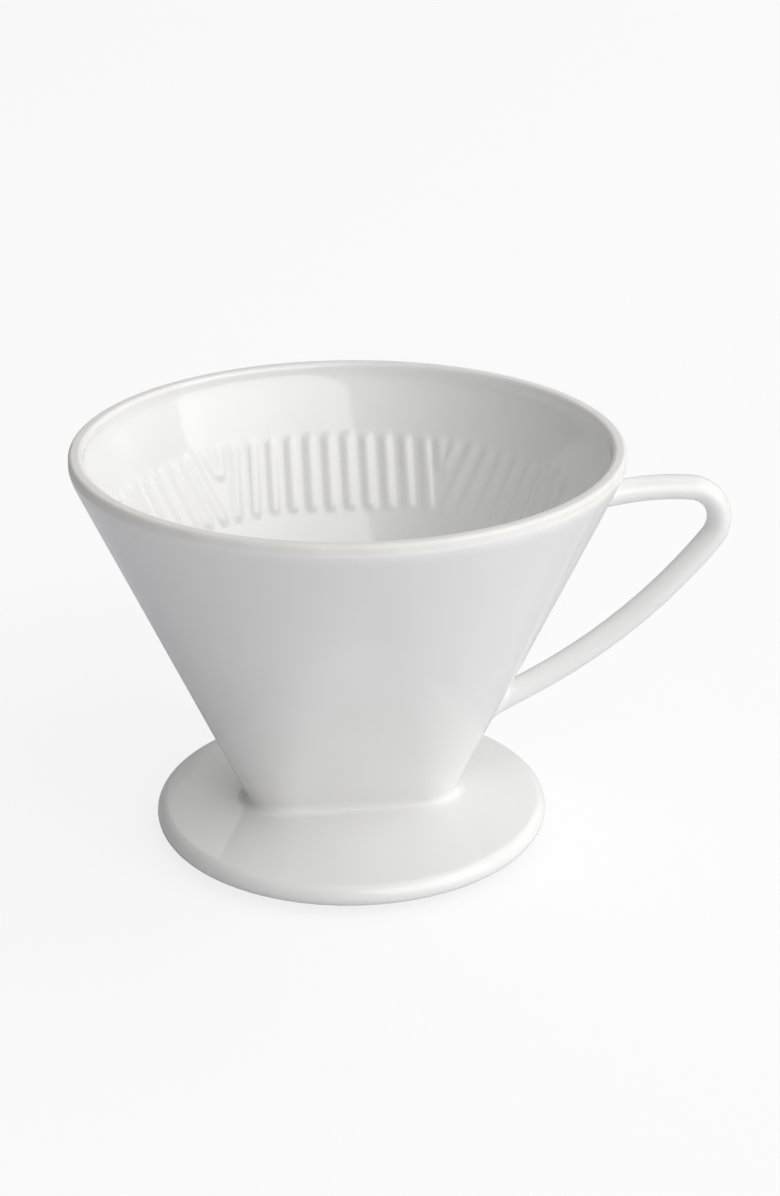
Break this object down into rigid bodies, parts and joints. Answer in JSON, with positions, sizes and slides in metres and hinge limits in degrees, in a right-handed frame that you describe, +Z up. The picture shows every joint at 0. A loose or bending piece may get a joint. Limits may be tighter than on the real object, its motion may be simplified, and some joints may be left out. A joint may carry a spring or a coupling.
{
  "type": "pour over dripper",
  "caption": "White porcelain pour over dripper: wedge-shaped ribbed funnel on a round saucer plate, with a thin loop handle.",
  "frame": {"origin": "centre of the resting face under the plate's ring", "axes": "+Z up through the round mouth, +X along the funnel's long foot towards the handle"},
  "size_m": [0.1638, 0.135, 0.1035],
  "materials": {
    "glaze": "glossy clear glaze over white porcelain",
    "bare_clay": "satin unglazed porcelain, slightly warm"
  },
  "bodies": {
    "root": {"cone_wall": "glaze", "rim_lip": "bare_clay", "cone_floor": "glaze", "ribs_back": "glaze", "ribs_front": "glaze", "ribs_back_left": "glaze", "ribs_back_right": "glaze", "ribs_front_left": "glaze", "ribs_front_right": "glaze", "base_plate": "glaze", "plate_ring": "bare_clay", "foot_fillet": "glaze", "handle": "glaze", "handle_upper_root": "glaze", "handle_lower_root": "glaze"}
  },
  "joints": []
}
